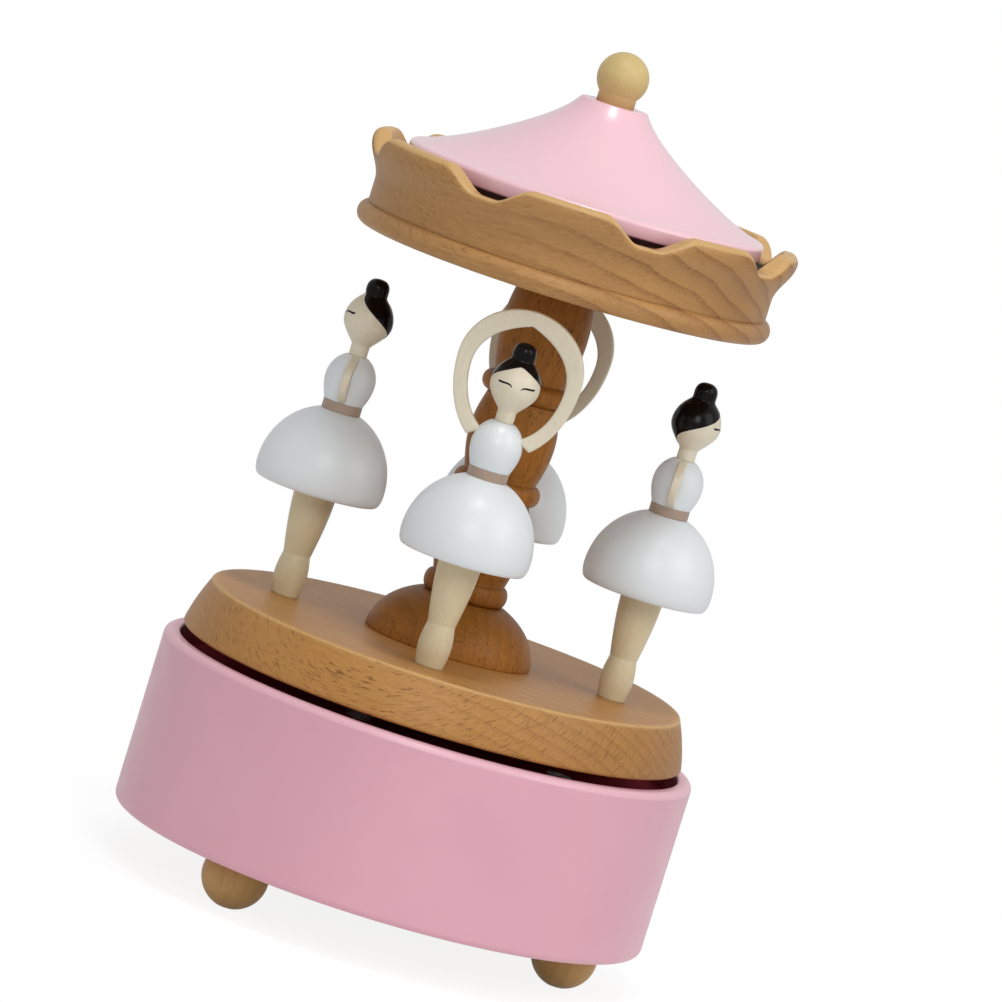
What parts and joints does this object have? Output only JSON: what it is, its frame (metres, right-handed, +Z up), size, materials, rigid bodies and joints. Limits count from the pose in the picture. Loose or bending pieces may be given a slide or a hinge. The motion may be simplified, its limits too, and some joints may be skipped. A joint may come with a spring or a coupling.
{
  "type": "carousel music box",
  "caption": "Turned wooden music box whose deck, column and scalloped crown carry dancers round when the movement in the drum runs.",
  "frame": {"origin": "on the floor under the shaft's axis, the centre of the bounding box's bottom", "axes": "+Z up along the shaft, -Y towards the front dancer"},
  "size_m": [0.115, 0.115, 0.1899],
  "materials": {
    "base_paint": "satin pink paint on turned wood",
    "roof_paint": "satin light pink paint on turned wood",
    "beech": "clear satin varnish on beech",
    "dark_wood": "clear satin varnish on brown wood",
    "feet_wood": "clear satin varnish",
    "pale_wood": "clear satin varnish",
    "maple": "clear satin varnish, with painted hair and lashes on the heads",
    "white_paint": "satin white paint on turned wood",
    "belt_paint": "satin taupe paint",
    "plywood": "bare plywood",
    "steel": "plated steel",
    "spring_steel": "hardened steel",
    "nickel": "nickel plated pressing",
    "zinc": "zinc casting",
    "brass": "turned brass",
    "nylon": "moulded nylon"
  },
  "bodies": {
    "base": {"base_drum": "base_paint", "base_plate": "plywood", "base_plate_screws": "steel", "foot_1": "feet_wood", "foot_2": "feet_wood", "foot_3": "feet_wood", "bedplate": "zinc", "movement_screws": "steel", "spring_housing": "nickel", "housing_screws": "steel", "mainspring": "spring_steel", "comb": "spring_steel", "comb_screws": "steel", "governor_bracket": "zinc", "bracket_screws": "steel"},
    "carousel": {"turntable": "beech", "column_screw": "steel", "column_foot": "dark_wood", "column": "dark_wood", "crown": "beech", "crown_screw": "steel", "roof": "roof_paint", "finial": "pale_wood", "drive_shaft": "steel", "great_wheel": "brass", "drive_hub": "zinc", "hub_screws": "steel", "front_dancer_legs": "maple", "front_dancer_skirt": "white_paint", "front_dancer_belt": "belt_paint", "front_dancer_bodice": "white_paint", "front_dancer_head": "maple", "front_dancer_arms": "maple", "right_dancer_legs": "maple", "right_dancer_skirt": "white_paint", "right_dancer_belt": "belt_paint", "right_dancer_bodice": "white_paint", "right_dancer_head": "maple", "right_dancer_arms": "maple", "rear_dancer_legs": "maple", "rear_dancer_skirt": "white_paint", "rear_dancer_belt": "belt_paint", "rear_dancer_bodice": "white_paint", "rear_dancer_head": "maple", "rear_dancer_arms": "maple", "left_dancer_legs": "maple", "left_dancer_skirt": "white_paint", "left_dancer_belt": "belt_paint", "left_dancer_bodice": "white_paint", "left_dancer_head": "maple", "left_dancer_arms": "maple"},
    "cylinder": {"cylinder": "brass", "cylinder_arbor": "steel", "cylinder_gear": "brass"},
    "transfer": {"transfer_arbor": "steel", "worm_wheel": "nylon"},
    "governor": {"governor_worm": "steel", "governor_fan": "nylon"}
  },
  "joints": [
    {"name": "turntable_spin", "type": "hinge", "parent": "base", "child": "carousel", "pos_m": [0, 0, 0.0496], "axis": [0, 0, 1], "continuous": true},
    {"name": "cylinder_spin", "type": "hinge", "parent": "base", "child": "cylinder", "pos_m": [0.0238, 0, 0.027], "axis": [1, 0, 0], "continuous": true},
    {"name": "transfer_spin", "type": "hinge", "parent": "base", "child": "transfer", "pos_m": [0.0344, 0.00862, 0.0244], "axis": [1, 0, 0], "continuous": true},
    {"name": "governor_spin", "type": "hinge", "parent": "base", "child": "governor", "pos_m": [0.0358, 0.01352, 0.024], "axis": [0, 0, 1], "continuous": true}
  ],
  "couplings": [
    {"joint": "cylinder_spin", "follows": "turntable_spin", "ratio": -2.5},
    {"joint": "transfer_spin", "follows": "turntable_spin", "ratio": 7.5},
    {"joint": "governor_spin", "follows": "turntable_spin", "ratio": -120}
  ]
}
